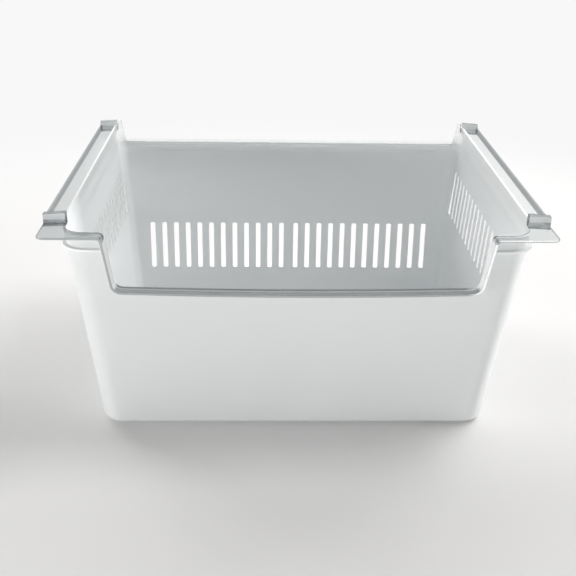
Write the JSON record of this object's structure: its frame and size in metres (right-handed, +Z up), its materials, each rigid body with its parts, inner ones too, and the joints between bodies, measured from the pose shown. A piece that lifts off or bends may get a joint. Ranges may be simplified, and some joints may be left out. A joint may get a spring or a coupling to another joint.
{
  "type": "freezer drawer",
  "caption": "Open-topped freezer drawer: a tapered tub with a low front, vent slots in its rear and side walls, and a slide channel with end stops along each side.",
  "frame": {"origin": "middle of the bounding box, on the base plane that the drawer stands on", "axes": "+Z up; the low front with its cut-out faces -Y; +X to the right as seen from the front"},
  "size_m": [0.46, 0.371, 0.2365],
  "materials": {
    "tub_plastic": "milky translucent moulded plastic, satin walls with polished rims"
  },
  "bodies": {
    "root": {"drawer_tub": "tub_plastic"}
  },
  "joints": []
}
